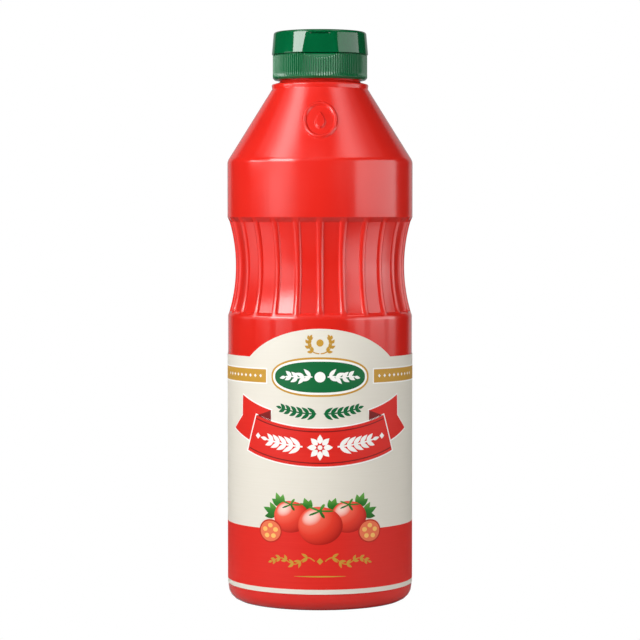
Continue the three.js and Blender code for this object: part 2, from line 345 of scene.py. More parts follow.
def add_piece(name, parts, material, node, tones=None):
    """One object of the joined parts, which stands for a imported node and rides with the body.

    tones gives, for each part, a function of the place on the label whose value is kept with each vertex.
    """
    points, faces, start = [], [], 0
    for part_points, part_faces in parts:
        points.append(part_points)
        faces += [face for group in part_faces for face in (group + start).tolist()]
        start += len(part_points)
    joined = np.concatenate(points)
    mesh = bpy.data.meshes.new(name)
    mesh.from_pydata((joined * MM).tolist(), [], faces)
    mesh.polygons.foreach_set("use_smooth", np.ones(len(faces), bool))
    mesh.set_sharp_from_angle(angle=SHARP_ANGLE)
    if tones:
        values = [tone(*label_place(part)) for tone, part in zip(tones, points)]
        attribute = mesh.attributes.new("tone", "FLOAT", "POINT")
        attribute.data.foreach_set("value", np.concatenate(values).astype(np.float32))
    mesh.materials.append(material)
    piece = bpy.data.objects.new(name, mesh)
    bpy.context.scene.collection.objects.link(piece)
    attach(piece, BODY)
    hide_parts(node)


# Outlines of turned pieces


def unit(vector):
    """The vector of length 1 in the same direction."""
    return vector / np.linalg.norm(vector)


def rounded(corners, steps=6):
    """Outline through (radius, height, rounding) corners.

    A corner with a rounding becomes an arc of that radius that touches both sides: its points are turned
    evenly from one touching point to the other about the arc's middle.
    """
    made = [np.array([corners[0][:2]])]
    for before, corner, after in zip(corners, corners[1:], corners[2:]):
        here = np.array(corner[:2], float)
        if not corner[2]:
            made.append(here[None])
            continue
        back = unit(np.array(before[:2]) - here)
        ahead = unit(np.array(after[:2]) - here)
        half = math.acos(np.clip(back @ ahead, -1, 1)) / 2
        middle = here + unit(back + ahead) * corner[2] / math.sin(half)
        first = here + back * corner[2] / math.tan(half) - middle
        last = here + ahead * corner[2] / math.tan(half) - middle
        sweep = math.pi - 2 * half
        turn = np.linspace(0, sweep, steps)[:, None]
        made.append(middle + (np.sin(sweep - turn) * first + np.sin(turn) * last) / math.sin(sweep))
    made.append(np.array([corners[-1][:2]]))
    return np.concatenate(made)


def bend(start, corner, end, steps):
    """Points of a curve from start to end that leaves towards the corner and arrives from it: a parabola."""
    share = np.linspace(0, 1, steps)[:, None]
    from_start = (1 - share) ** 2 * np.array(start)
    by_corner = 2 * share * (1 - share) * np.array(corner)
    return from_start + by_corner + share**2 * np.array(end)


def grids(outline, angle):
    """Radius and height of an outline's points as grids of rows x columns, the same in every column."""
    shape = (len(outline), len(angle))
    return [np.broadcast_to(column[:, None], shape) for column in outline.T]


def turned(radius, height, angle):
    """Points of a round surface: radius and height are grids of rows x columns, angle is one per column."""
    return np.stack([radius * np.sin(angle), -radius * np.cos(angle), height], axis=-1)


def soft_least(first, second, blend):
    """The smaller of two values, with a smooth change of about the size of blend where they cross."""
    return -blend * np.logaddexp(-first / blend, -second / blend)


def smooth_step(value):
    """0 below 0, 1 above 1, and between them an even S-shaped rise."""
    share = np.clip(value, 0, 1)
    return share * share * (3 - 2 * share)


# The bottle


def waist_radius(height):
    """Radius over the ribs: an arc whose middle is the narrowest place of the grip."""
    from_middle = height - WAIST_MIDDLE
    return WAIST_RADIUS + WAIST_CURVE - np.sqrt(WAIST_CURVE**2 - from_middle**2)


def shoulder_radius(height):
    """Radius of the shoulder's cone, which shrinks evenly with height."""
    return BAND_RADIUS - SHOULDER_SLOPE * (height - SHOULDER_EDGE)


def bottle_outline():
    """Half section of the bottle without ribs or mark, from its base to the end of its neck."""
    foot_inner = LOWER_RADIUS - HEEL_RADIUS - FOOT_WIDTH
    dome = DOME_SHARES * foot_inner
    floor = np.linspace(GRIP_LOW, GRIP_HIGH - LEDGE_HEIGHT, WAIST_ROWS)
    floor_radius = waist_radius(floor) - RIB_HEIGHT
    edge_foot = (LOWER_RADIUS, GRIP_LOW - LEDGE_ROUND)
    edge_corner = (LOWER_RADIUS, GRIP_LOW - LEDGE_LIP)
    edge = bend(edge_foot, edge_corner, (floor_radius[0], GRIP_LOW), LEDGE_ROWS)
    mark_rows = MARK_HEIGHT + MARK_ROWS * math.cos(SLANT)
    return rounded(
        [
            *[(r, PUSH_UP * (1 - (r / foot_inner) ** 2), 0) for r in dome],
            (foot_inner, 0, FOOT_ROUND),
            (LOWER_RADIUS, 0, HEEL_RADIUS),
            *[(r, z, 0) for r, z in edge],
            *[(r, z, 0) for r, z in zip(floor_radius[1:-1], floor[1:-1])],
            (floor_radius[-1], floor[-1], LEDGE_EDGE_ROUND),
            (BAND_RADIUS, GRIP_HIGH, LEDGE_EDGE_ROUND),
            (BAND_RADIUS, SHOULDER_EDGE, SHOULDER_FILLET),
            *[(shoulder_radius(z), z, 0) for z in mark_rows],
            (shoulder_radius(SHOULDER_TOP), SHOULDER_TOP, SHOULDER_TOP_ROUND),
            (COLLAR_RADIUS, COLLAR_TOP, COLLAR_ROUND),
            (NECK_RADIUS, NECK_FOOT, NECK_FOOT_ROUND),
            (NECK_RADIUS, NECK_TOP, NECK_TOP_ROUND),
            (NECK_RADIUS / 2, NECK_TOP, 0),
        ]
    )


def bottle_angles():
    """Columns round the bottle: close together over each rib and over the mark, wider apart elsewhere."""
    over_rib = np.concatenate([-RIB_COLUMNS[::-1], [0], RIB_COLUMNS])
    one_rib = np.concatenate([over_rib / WAIST_RADIUS, PANEL_COLUMNS])
    ribs = np.arange(RIB_COUNT)[:, None] * RIB_PITCH + one_rib[None]
    every = np.concatenate([ribs.ravel(), MARK_COLUMNS]) % (2 * math.pi)
    every[every > 2 * math.pi - SAME_ANGLE] = 0
    return np.unique(np.round(every / SAME_ANGLE)) * SAME_ANGLE


def bead(distance, half_width, height):
    """Height of a round bead at a distance from its middle line: a circle's arc, 0 beyond its half-width."""
    arc_radius = (half_width**2 + height**2) / (2 * height)
    inside = np.minimum(np.abs(distance), half_width)
    return np.sqrt(arc_radius**2 - inside**2) - arc_radius + height


def rib_share(angle):
    """Share of a rib's height at each angle: 1 on a crest, falling in a bead's arc to 0 at its foot."""
    across = ((angle + RIB_PITCH / 2) % RIB_PITCH - RIB_PITCH / 2) * WAIST_RADIUS
    return bead(across, RIB_HALF, RIB_HEIGHT) / RIB_HEIGHT


def panel_share(angle):
    """Radius of a panel between two ribs, as a share of its radius at the ribs.

    A flat panel has cos(half pitch) / cos(angle from its middle), and this one is a little rounder than flat.
    """
    from_middle = angle % RIB_PITCH - RIB_PITCH / 2
    return 1 - PANEL_FLATNESS * (1 - math.cos(RIB_PITCH / 2) / np.cos(from_middle))


def mark_relief(across, up):
    """Height of the moulded mark at a place on the shoulder: an oval line round a drop.

    The line is a bead whose height depends on the distance to an ellipse. The drop rises smoothly with the
    distance inside an outline whose half-width is that of an ellipse, narrowed towards its upper end.
    """
    ratio = np.hypot(across / MARK_HALF_WIDTH, up / MARK_HALF_HEIGHT) + TINY
    steepness = np.hypot(across / MARK_HALF_WIDTH**2, up / MARK_HALF_HEIGHT**2) / ratio + TINY
    line = bead(np.abs(ratio - 1) / steepness, MARK_LINE_HALF, MARK_RELIEF)
    along = np.clip(up / DROP_HALF_HEIGHT, -1, 1)
    narrowed = 1 - DROP_NARROWING * ((1 + along) / 2) ** 2
    half = DROP_HALF_WIDTH * np.sqrt(1 - along**2) * narrowed
    drop = smooth_step((half - np.abs(across)) / DROP_EDGE)
    return np.maximum(line, MARK_RELIEF * drop)


def add_bottle(material):
    """The bottle: its outline turned about the axis, with ribs, mark and mould seam added to the radius.

    In the grip the floor is flattened to a panel between each two ribs, and the radius rises from it to the
    waist's arc over each rib. On the shoulder the mark lifts the surface square to the cone. The seam is a
    low ridge down both sides, and across the base.
    """
    outline = bottle_outline()
    angle = bottle_angles()
    radius, height = grids(outline, angle)
    grip_foot = GRIP_LOW - LEDGE_ROUND
    in_grip = (height > grip_foot) & (height < GRIP_HIGH)
    over_floor = waist_radius(np.clip(height, grip_foot, GRIP_HIGH)) - radius
    lift = np.where(in_grip, np.maximum(over_floor, 0), 0)
    on_floor = (height >= GRIP_LOW) & (height < GRIP_HIGH - LEDGE_HEIGHT / 2)
    panel = radius * np.where(on_floor, panel_share(angle), 1)
    radius = panel + (radius + lift - panel) * rib_share(angle)
    turn = (angle + math.pi) % (2 * math.pi) - math.pi
    on_cone = (height > MARK_LOWEST) & (height < MARK_HIGHEST)
    up_cone = (height - MARK_HEIGHT) / math.cos(SLANT)
    relief = np.where(on_cone, mark_relief(turn * radius, up_cone), 0)
    radius = radius + relief * math.cos(SLANT)
    height = height + relief * math.sin(SLANT)
    from_seam = np.abs(radius * np.cos(angle))
    on_wall = (height > HEEL_RADIUS) & (height < SHOULDER_TOP)
    ridge = PARTING_HEIGHT * smooth_step(1 - from_seam / PARTING_HALF)
    radius = radius + np.where(on_wall, ridge, 0)
    inside = smooth_step((PINCH_END - radius) / PINCH_FADE)
    pinch = PINCH_HEIGHT * smooth_step(PINCH_STEEPNESS * (1 - from_seam / PINCH_HALF)) * inside
    height = height - np.where(height < HEEL_RADIUS, pinch, 0)
    start = (0, 0, PUSH_UP - PINCH_HEIGHT)
    part = closed_tube(turned(radius, height, angle), start, (0, 0, NECK_TOP))
    add_piece("bottle_shell", [part], material, "bottle")


# The cap


def chord(radius, half_width):
    """Distance from the axis to a flat that cuts a round of that radius along a chord."""
    return math.sqrt(radius**2 - half_width**2)


HINGE_FLAT = chord(SKIRT_RADIUS, HINGE_FLAT_HALF)
EDGE_SOFTNESS = 0.06
FLAT_REACH = 0.2
BEYOND = 5.0


def cut_flat(radius, angle, depth, facing):
    """A round surface cut by a flat at a distance depth from the axis, with a softened edge.

    facing is 1 for a flat at the front and -1 for one at the back. The radius is held under
    depth / cos(angle), except where that cosine is under FLAT_REACH and the flat is far away.
    """
    towards = np.cos(angle) * facing
    out_of_reach = radius + BEYOND
    flat = np.where(towards > FLAT_REACH, depth / np.maximum(towards, FLAT_REACH), out_of_reach)
    return soft_least(radius, flat, EDGE_SOFTNESS)


def add_skirt(material):
    """The cap's skirt: a ring round the neck, knurled outside.

    The knurls are a cosine round the side, to a power, that fades out at both ends. At the front a slope is
    cut from the top edge: a flat whose distance from the axis shrinks evenly with height and rounds off at
    its lip. At the back a flat is cut for the hinge.
    """
    angle = np.linspace(0, 2 * math.pi, KNURL_COUNT * KNURL_COLUMNS, endpoint=False)
    side = np.concatenate([PLAIN_ROWS, SCOOP_ROWS, LIP_ROWS])
    outline = rounded(
        [
            (CORE_RADIUS, BORE_TOP, 0),
            (BORE_RADIUS, BORE_TOP, SKIRT_EDGE_ROUND),
            (BORE_RADIUS, SKIRT_LOW, BORE_MOUTH_ROUND),
            (SKIRT_RADIUS - SKIRT_CHAMFER, SKIRT_LOW, SKIRT_EDGE_ROUND),
            (SKIRT_RADIUS, CHAMFER_TOP, SKIRT_EDGE_ROUND),
            *[(SKIRT_RADIUS, z, 0) for z in side],
            (SKIRT_RADIUS, SKIRT_HIGH, SKIRT_TOP_ROUND),
            (GAP_RING_RADIUS, SKIRT_HIGH, 0),
            (CORE_RADIUS, SKIRT_HIGH, 0),
        ],
        steps=5,
    )
    radius, height = grids(outline, angle)
    outside = radius > SKIRT_RADIUS - KNURL_DEPTH
    fade_low = smooth_step((height - KNURL_LOW) / KNURL_FADE_LOW)
    fade_high = smooth_step((SKIRT_HIGH - height) / KNURL_FADE_HIGH)
    valley = (0.5 - 0.5 * np.cos(angle * KNURL_COUNT)) ** KNURL_ROUNDNESS
    radius = radius - np.where(outside, KNURL_DEPTH * valley * fade_low * fade_high, 0)
    scoop_foot = SKIRT_HIGH - SCOOP_HEIGHT
    scoop_depth = SKIRT_RADIUS - chord(SKIRT_RADIUS, SCOOP_HALF)
    slope = SKIRT_RADIUS - scoop_depth * (height - scoop_foot) / SCOOP_HEIGHT
    into_lip = np.clip((height - SKIRT_HIGH) / SCOOP_LIP + 1, 0, 1)
    slope = slope - SCOOP_LIP * (1 - np.sqrt(1 - into_lip**2))
    scooped = cut_flat(radius, angle, slope, 1)
    radius = np.where(height > scoop_foot - CUT_MARGIN, scooped, radius)
    radius = np.where(height > HINGE_LOW - CUT_MARGIN, cut_flat(radius, angle, HINGE_FLAT, -1), radius)
    part = closed_tube(turned(radius, height, angle), (0, 0, BORE_TOP), (0, 0, SKIRT_HIGH))
    add_piece("cap_skirt_knurled", [part], material, "cap_skirt")


def add_lid(material):
    """The lid: a round that narrows upwards, with a dished top and a flat thumb recess under its front edge.

    Up to the recess's roof the radius is cut by a flat that leans back a little, with a narrow slot under the
    roof. A row just above it has the full radius again. At the back the lid's foot is cut flat behind the
    hinge.
    """
    angle = np.linspace(0, 2 * math.pi, LID_COLUMNS, endpoint=False)
    roof = LID_HIGH - RECESS_ROOF
    slot_foot = roof - SLOT_HEIGHT
    slot_middle = slot_foot + SLOT_HEIGHT / 2
    slot_rows = [
        slot_foot - SLOT_FOOT_EDGE,
        slot_foot + SLOT_FOOT_EDGE,
        slot_middle,
        roof - SLOT_ROOF_EDGE,
        roof + SLOT_ROOF_EDGE,
    ]
    plain_rows = np.linspace(LID_LOW + CUT_MARGIN, slot_foot - CUT_MARGIN, LID_ROWS)
    side = np.concatenate([plain_rows, slot_rows])
    taper = (LID_FOOT_RADIUS - LID_TOP_RADIUS) / (LID_HIGH - LID_ROUND - LID_LOW)
    outline = rounded(
        [
            (CORE_RADIUS, LID_LOW, 0),
            (GAP_RING_RADIUS, LID_LOW, 0),
            (LID_FOOT_RADIUS, LID_LOW, LID_FOOT_ROUND),
            *[(LID_FOOT_RADIUS - taper * (z - LID_LOW), z, 0) for z in side],
            (LID_TOP_RADIUS, LID_HIGH, LID_ROUND),
            (LID_DISH_RADIUS + LID_DISH_SLOPE, LID_HIGH, LID_DISH_ROUND),
            (LID_DISH_RADIUS, LID_HIGH - LID_DISH_DEPTH, LID_DISH_ROUND),
            (CORE_RADIUS, LID_HIGH - LID_DISH_DEPTH, 0),
        ],
        steps=8,
    )
    radius, height = grids(outline, angle)
    foot_depth = chord(LID_FOOT_RADIUS, RECESS_FOOT_HALF)
    top_depth = chord(LID_TOP_RADIUS, RECESS_TOP_HALF)
    flat = foot_depth + (top_depth - foot_depth) * (height - LID_LOW) / (roof - LID_LOW)
    radius = np.where(height < roof, cut_flat(radius, angle, flat, 1), radius)
    across = np.where(np.cos(angle) > 0, np.abs(radius * np.sin(angle)), LID_FOOT_RADIUS)
    in_slot = (height > slot_foot) & (height < roof)
    radius = radius - np.where(in_slot, SLOT_DEPTH * smooth_step((SLOT_HALF - across) / SLOT_END), 0)
    radius = np.where(height < HINGE_HIGH + CUT_MARGIN, cut_flat(radius, angle, HINGE_FLAT, -1), radius)
    end = (0, 0, LID_HIGH - LID_DISH_DEPTH)
    part = closed_tube(turned(radius, height, angle), (0, 0, LID_LOW), end)
    add_piece("cap_lid_round", [part], material, "cap_lid")


def add_hinge(material):
    """The hinge's strap: a plate across the gap behind the cap, thinned to a groove along the fold.

    Its outer face is a plane less a narrow smooth dip at the fold's height, and less a rounding at its edges.
    """
    across, height = np.meshgrid(
        np.linspace(HINGE_HALF, -HINGE_HALF, HINGE_COLUMNS),
        np.linspace(HINGE_LOW, HINGE_HIGH, HINGE_ROWS),
    )
    fold = (SKIRT_HIGH + LID_LOW) / 2
    groove = HINGE_GROOVE * smooth_step(1 - np.abs(height - fold) / HINGE_GROOVE_HALF)
    from_ends = np.minimum(height - HINGE_LOW, HINGE_HIGH - height)
    from_edges = np.minimum(HINGE_HALF - np.abs(across), from_ends)
    rounding = HINGE_EDGE_DROP * (1 - smooth_step(from_edges / HINGE_EDGE_WIDTH))
    outer_depth = HINGE_FLAT + HINGE_STAND_OFF + HINGE_THICKNESS - groove - rounding
    inner_depth = np.full_like(across, HINGE_FLAT - HINGE_SINK)
    outer = np.stack([across, outer_depth, height], axis=-1)
    inner = np.stack([across, inner_depth, height], axis=-1)
    add_piece("cap_hinge_strap", [slab(outer, inner)], material, "cap_lid")


# The label and its print


def on_label(along, height, radius):
    """Points on a cylinder of that radius, at distances along the label from the middle of the front."""
    angle = along / FILM_RADIUS
    return np.stack([radius * np.sin(angle), -radius * np.cos(angle), height + 0 * angle], axis=-1)


def label_place(points):
    """Distance along the label and height of points on it."""
    return FILM_RADIUS * np.arctan2(points[:, 0], -points[:, 1]), points[:, 2]


def label_top(along):
    """Height of the label's top edge: level at the sides, and an arc of a circle over the front."""
    arch_radius = (ARCH_HALF_WIDTH**2 + ARCH_RISE**2) / (2 * ARCH_RISE)
    under = np.sqrt(arch_radius**2 - np.clip(along, -ARCH_HALF_WIDTH, ARCH_HALF_WIDTH) ** 2)
    return LABEL_SIDE_HIGH + ARCH_RISE - arch_radius + under


def add_film(material):
    """The film: a strip bent round the bottle whose rows run evenly from its lower to its upper edge."""
    half = LABEL_HALF / FILM_INNER * FILM_RADIUS
    side = np.linspace(ARCH_HALF_WIDTH, half, FILM_SIDE_COLUMNS)
    under_arch = np.linspace(-ARCH_HALF_WIDTH, ARCH_HALF_WIDTH, FILM_ARCH_COLUMNS)
    along = np.concatenate([-side[:0:-1], under_arch, side[1:]])
    share = np.linspace(0, 1, FILM_ROWS)[:, None]
    height = LABEL_LOW + share * (label_top(along) - LABEL_LOW)
    along = np.repeat(along[None], FILM_ROWS, axis=0)
    part = slab(on_label(along, height, FILM_RADIUS), on_label(along, height, FILM_INNER))
    add_piece("label_film", [part], material, "label")


def inked_grid(along, height, layer):
    """A printed area whose places are grids of rows x columns, as a thin slab on the film.

    layer counts the thicknesses of ink by which its face stands over the film: a higher one covers a lower.
    """
    outer = on_label(along, height, FILM_RADIUS + layer * INK)
    return slab(outer, on_label(along, height, FILM_RADIUS - INK))


def inked_strip(along_low, along_high, low, high, layer):
    """A printed area between two heights, given at each end or as curves of the same number of columns."""
    share = np.linspace(0, 1, STRIP_ROWS)[:, None]
    along = along_low + share * (along_high - along_low)
    height = low + share * (high - low)
    return inked_grid(along, height, layer)


def inked_band(start, end, low, high, layer):
    """A printed level band, with a column to about each millimetre."""
    along = np.linspace(start, end, max(LEAST_COLUMNS, int(abs(end - start))))
    return inked_strip(along, along, np.full_like(along, low), np.full_like(along, high), layer)


def inked_shape(along, height, middle, layer, rings=10):
    """A printed area inside a clockwise outline: rings of it shrunk evenly towards a middle point."""
    share = np.linspace(0, 1, rings + 1)[1:, None]
    along = middle[0] + share * (along - middle[0])
    height = middle[1] + share * (height - middle[1])
    outer = on_label(along, height, FILM_RADIUS + layer * INK)
    inner = on_label(along[::-1], height[::-1], FILM_RADIUS - INK)
    centre_along, centre_height = (np.array(value, float) for value in middle)
    start = on_label(centre_along, centre_height, FILM_RADIUS + layer * INK)
    end = on_label(centre_along, centre_height, FILM_RADIUS - INK)
    return closed_tube(np.concatenate([outer, inner]), start, end)


def clockwise(count):
    """Angles once round an outline, clockwise, from its right."""
    return -np.linspace(0, 2 * math.pi, count, endpoint=False)


def inked_oval(middle, half_width, half_height, layer, power=2.0, count=96, rings=10):
    """A printed oval: |x / half_width| ** power + |y / half_height| ** power = 1. Power 1 is a diamond."""
    turn = clockwise(count)
    across = np.sign(np.cos(turn)) * np.abs(np.cos(turn)) ** (2 / power)
    up = np.sign(np.sin(turn)) * np.abs(np.sin(turn)) ** (2 / power)
    return inked_shape(middle[0] + half_width * across, middle[1] + half_height * up, middle, layer, rings)


def inked_line(along, height, half_width, layer):
    """A printed line: its path moved to both sides, square to its direction, by a half-width."""
    along_step = np.gradient(along)
    height_step = np.gradient(height)
    length = np.hypot(along_step, height_step)
    aside = -height_step / length * half_width
    up = along_step / length * half_width
    return inked_strip(along - aside, along + aside, height - up, height + up, layer)


def inked_leaf(base, turn, length, half_width, layer, curl=0.0):
    """A printed leaf from its base: a line whose half-width swells and tapers, turned and curled evenly."""
    share = np.linspace(0, 1, LEAF_STEPS + 1)
    direction = turn + curl * share
    step = length / LEAF_STEPS
    along = base[0] + np.concatenate([[0], np.cumsum(np.cos(direction[:-1]))]) * step
    height = base[1] + np.concatenate([[0], np.cumsum(np.sin(direction[:-1]))]) * step
    half = LEAF_LEAST_HALF + half_width * np.sin(math.pi * share**LEAF_SWELL)
    return inked_line(along, height, half, layer)


def ribbon_place(turn, radius):
    """A place on the ribbon's arc: turn is measured from straight down, about a centre above the label."""
    return radius * np.sin(turn), RIBBON_CENTRE - radius * np.cos(turn)


def mirrored(along, height, side):
    """A grid for the right side, or its mirror image for the left with its columns in order again."""
    if side > 0:
        return along, height
    return -along[:, ::-1], height[:, ::-1]


def ribbon_body(inner, outer, half_turn, layer):
    """The ribbon's front: the part of a ring between two radii, as far as a half turn to each side."""
    turn = np.linspace(-half_turn, half_turn, RIBBON_COLUMNS)
    low_along, low = ribbon_place(turn, outer)
    high_along, high = ribbon_place(turn, inner)
    return inked_strip(low_along, high_along, low, high, layer)


def ribbon_tail(side, grow, layer):
    """A tail of the ribbon: the same ring a little higher, from behind the front to a notched end."""
    share = np.linspace(0, 1, TAIL_COLUMNS)[None]
    across = np.linspace(0, 1, TAIL_ROWS)[:, None]
    end = TAIL_END + grow / RIBBON_OUTER - TAIL_NOTCH * (1 - np.abs(2 * across - 1))
    start = TAIL_START - grow / RIBBON_OUTER
    turn = start + (end - start) * share
    radius = RIBBON_OUTER + grow + across * (RIBBON_INNER - RIBBON_OUTER - 2 * grow)
    along, height = ribbon_place(turn, radius)
    return inked_grid(*mirrored(along, height + TAIL_RISE, side), layer)


def ribbon_fold(side, layer):
    """The fold between front and tail: a triangle on the front's upper edge that narrows to its corner."""
    share = np.linspace(0, 1, FOLD_COLUMNS)[None]
    across = np.linspace(0, 1, FOLD_ROWS)[:, None]
    turn = TAIL_START + (RIBBON_HALF_TURN - TAIL_START) * share
    along, height = ribbon_place(turn, RIBBON_INNER + FOLD_OVERLAP)
    rise = (TAIL_RISE + FOLD_OVERLAP) * (1 - FOLD_TAPER * share) * across
    return inked_grid(*mirrored(along + 0 * across, height + rise, side), layer)


def add_red_print(material):
    """The lower field, the ribbon's front and its tails."""
    parts = [inked_band(-FIELD_END, FIELD_END, FIELD_LOW, FIELD_HIGH, layer=1)]
    parts += [ribbon_tail(side, grow=0, layer=2) for side in SIDES]
    parts.append(ribbon_body(RIBBON_INNER, RIBBON_OUTER, RIBBON_HALF_TURN, layer=4))
    add_piece("print_red", parts, material, "label")


def add_dark_red_print(material):
    """The folds behind the ribbon and the pinstripes along its edges."""
    parts = [ribbon_fold(side, layer=3) for side in SIDES]
    turn = np.linspace(-PINSTRIPE_HALF_TURN, PINSTRIPE_HALF_TURN, RIBBON_COLUMNS)
    for radius in (RIBBON_INNER + PINSTRIPE_INSET, RIBBON_OUTER - PINSTRIPE_INSET):
        along, height = ribbon_place(turn, radius)
        parts.append(inked_line(along, height, PINSTRIPE_HALF, layer=5))
    add_piece("print_dark_red", parts, material, "label")


def sprig(path_along, path_height, leaves, length, half_width, stem_half, layer):
    """A stem along a path from its root, with a pair of leaves that lean forwards at each share of it."""
    if path_along[-1] < path_along[0]:
        stem = inked_line(path_along[::-1], path_height[::-1], stem_half, layer)
    else:
        stem = inked_line(path_along, path_height, stem_half, layer)
    parts = [stem]
    heading = np.unwrap(np.arctan2(np.gradient(path_height), np.gradient(path_along)))
    share = np.linspace(0, 1, len(path_along))
    for place in leaves:
        base = np.interp(place, share, path_along), np.interp(place, share, path_height)
        ahead = np.interp(place, share, heading)
        size = length * (1 - LEAF_SHRINK * place)
        for side in SIDES:
            turn = ahead + LEAF_LEAN * side
            parts.append(inked_leaf(base, turn, size, half_width, layer, curl=-LEAF_CURL * side))
    tip = path_along[-1], path_height[-1]
    parts.append(inked_leaf(tip, heading[-1], length * TIP_LENGTH, half_width * TIP_WIDTH, layer))
    return parts


def gold_wreath():
    """A small wreath over the cartouche: two sprigs that curve up from one root, round a ball."""
    radius = WREATH_BALL_RADIUS
    parts = [inked_oval(WREATH_BALL, radius, radius, layer=2, count=40, rings=4)]
    turn = np.linspace(-math.pi / 2, WREATH_END, STEM_COLUMNS)
    height = WREATH_HEIGHT + WREATH_HALF_HEIGHT * np.sin(turn)
    leaves = (0.3, 0.52, 0.74, 0.92)
    for side in SIDES:
        along = side * (WREATH_ROOT + WREATH_HALF_WIDTH * np.cos(turn))
        parts += sprig(along, height, leaves, length=2.8, half_width=0.6, stem_half=0.24, layer=2)
    return parts


def gold_vine():
    """A vine on the lower field: two waving stems with leaves from a diamond, over a thin rule.

    Each stem is a sine whose swing fades outwards, and the rule's half-width is a cosine along it.
    """
    half = VINE_DIAMOND_HALF
    parts = [inked_oval((0.0, VINE_HEIGHT), half, half, layer=2, power=1, count=32, rings=4)]
    share = np.linspace(0, 1, VINE_COLUMNS)
    wave = np.sin(share * VINE_HALF_WAVES * math.pi)
    height = VINE_HEIGHT + VINE_SWING * wave * (1 - VINE_FADING * share)
    leaves = (0.16, 0.32, 0.48, 0.64, 0.8, 0.92)
    for side in SIDES:
        along = side * (VINE_START + VINE_LENGTH * share)
        parts += sprig(along, height, leaves, length=3.3, half_width=0.55, stem_half=0.2, layer=2)
    rule = np.linspace(-RULE_HALF_LENGTH, RULE_HALF_LENGTH, VINE_COLUMNS)
    rule_half = RULE_LEAST_HALF + RULE_SWELL * np.cos(rule / RULE_HALF_LENGTH * math.pi / 2)
    parts.append(inked_line(rule, np.full_like(rule, RULE_HEIGHT), rule_half, layer=2))
    return parts


def cartouche_oval(inset, layer):
    """The cartouche's outline, or one inside it whose half-axes are shorter by the inset."""
    half_width = CARTOUCHE_HALF_WIDTH - inset
    half_height = CARTOUCHE_HALF_HEIGHT - inset
    return inked_oval(CARTOUCHE, half_width, half_height, layer, CARTOUCHE_POWER, count=160, rings=20)


def add_gold_print(material):
    """Side bands, the cartouche's ring, the wreath over it, and the vine on the lower field."""
    parts = [
        inked_band(-BAND_END, -SIDE_BAND_START, SIDE_BAND_LOW, SIDE_BAND_HIGH, layer=2),
        inked_band(SIDE_BAND_START, BAND_END, SIDE_BAND_LOW, SIDE_BAND_HIGH, layer=2),
        cartouche_oval(inset=0, layer=2),
    ]
    parts += gold_wreath()
    parts += gold_vine()
    add_piece("print_gold", parts, material, "label")


def add_green_print(material):
    """The cartouche's field, and two leafy sprigs that meet between cartouche and ribbon."""
    parts = [cartouche_oval(CARTOUCHE_FIELD_INSET, layer=4)]
    share = np.linspace(0, 1, STEM_COLUMNS)
    height = GREEN_SPRIG_HEIGHT + GREEN_SPRIG_RISE * share**2
    leaves = (0.02, 0.2, 0.38, 0.56, 0.74, 0.9)
    for side in SIDES:
        along = side * (GREEN_SPRIG_START + GREEN_SPRIG_LENGTH * share)
        parts += sprig(along, height, leaves, length=4.4, half_width=0.72, stem_half=0.3, layer=2)
    add_piece("print_green", parts, material, "label")


def cartouche_sprigs():
    """Two level sprigs that lean outwards from a round fruit, on faintly waving stems."""
    parts = [inked_oval(CARTOUCHE, FRUIT_HALF_WIDTH, FRUIT_HALF_HEIGHT, layer=5, count=48)]
    share = np.linspace(0, 1, STEM_COLUMNS)
    height = CARTOUCHE[1] + WHITE_SPRIG_SWING * np.sin(share * WHITE_SPRIG_HALF_WAVES * math.pi)
    leaves = (0.06, 0.3, 0.54, 0.78)
    for side in SIDES:
        along = side * (WHITE_SPRIG_START + WHITE_SPRIG_LENGTH * share)
        parts += sprig(along, height, leaves, length=4.4, half_width=0.78, stem_half=0.26, layer=5)
    return parts


def ribbon_garland():
    """A garland along the ribbon's middle: a flower, and a sprig to each side that ends in a diamond."""
    flower = (0.0, RIBBON_CENTRE - RIBBON_MIDDLE)
    parts = [inked_oval(flower, FLOWER_RADIUS, FLOWER_RADIUS, layer=5, count=32, rings=4)]
    for petal in range(PETAL_COUNT):
        turn = petal * 2 * math.pi / PETAL_COUNT
        base = (flower[0] + PETAL_START * math.cos(turn), flower[1] + PETAL_START * math.sin(turn))
        parts.append(inked_leaf(base, turn, PETAL_LENGTH, PETAL_HALF, layer=5))
    leaves = (0.06, 0.25, 0.44, 0.63, 0.82)
    half = GARLAND_DIAMOND_HALF
    for side in SIDES:
        turn = side * np.linspace(GARLAND_START, GARLAND_END, GARLAND_COLUMNS)
        along, height = ribbon_place(turn, RIBBON_MIDDLE)
        parts += sprig(along, height, leaves, length=6.0, half_width=0.9, stem_half=0.32, layer=5)
        end = ribbon_place(side * GARLAND_DIAMOND_TURN, RIBBON_MIDDLE)
        parts.append(inked_oval(end, half, half, layer=5, power=1, count=32, rings=4))
    return parts


